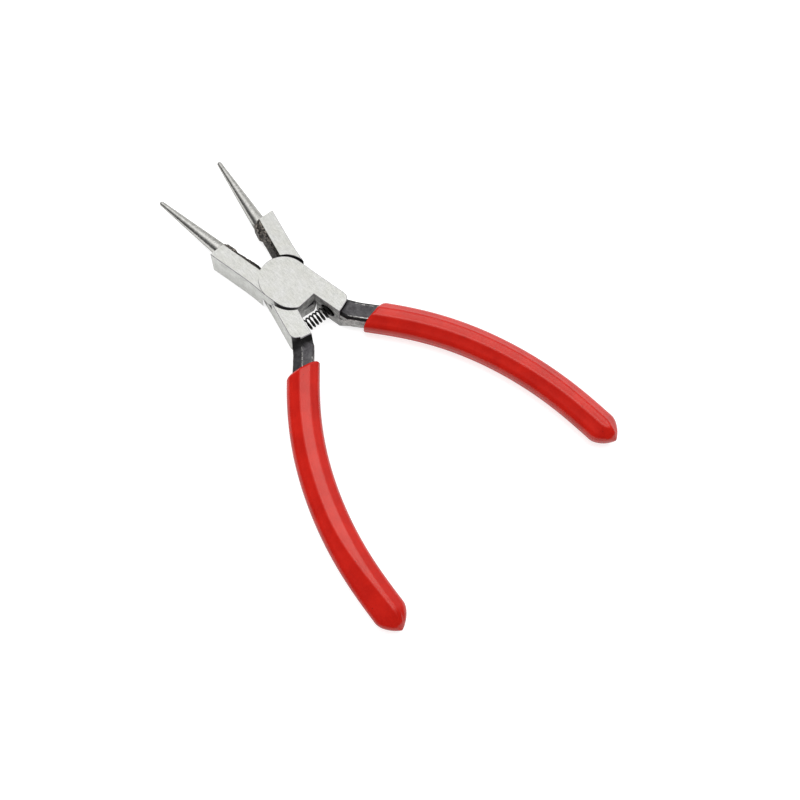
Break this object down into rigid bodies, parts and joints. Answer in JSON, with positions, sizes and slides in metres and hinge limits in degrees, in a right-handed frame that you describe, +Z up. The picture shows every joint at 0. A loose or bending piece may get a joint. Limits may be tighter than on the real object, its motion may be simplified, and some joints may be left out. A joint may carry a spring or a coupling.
{
  "type": "round nose pliers",
  "caption": "Jewellery pliers with round tapered jaws for forming wire loops, a lap joint, a return spring and dipped handles.",
  "frame": {"origin": "on the pivot axis, in the ground lower face of the head", "axes": "+Z up along the pivot, +Y from the pivot towards the jaws, midway between the two levers; +X to the right"},
  "size_m": [0.0762, 0.1224, 0.0082],
  "materials": {
    "steel": "satin ground faces, black oxide on the tangs and the forged inner sides",
    "rivet_steel": "ground flush with the joint",
    "spring_wire": "black oxide spring wire",
    "grip_vinyl": "glossy red dipped vinyl"
  },
  "bodies": {
    "lever_a_body": {"lever_a": "steel", "pivot_rivet": "rivet_steel", "grip_a": "grip_vinyl", "return_spring": "spring_wire"},
    "lever_b_body": {"lever_b": "steel", "grip_b": "grip_vinyl"}
  },
  "joints": [
    {"name": "pivot", "type": "hinge", "parent": "lever_a_body", "child": "lever_b_body", "pos_m": [0, 0, 0], "axis": [0, 0, 1], "range_deg": [-26, 24.6], "stiffness_Nm_per_rad": 0.15, "deforming": ["return_spring"]}
  ]
}
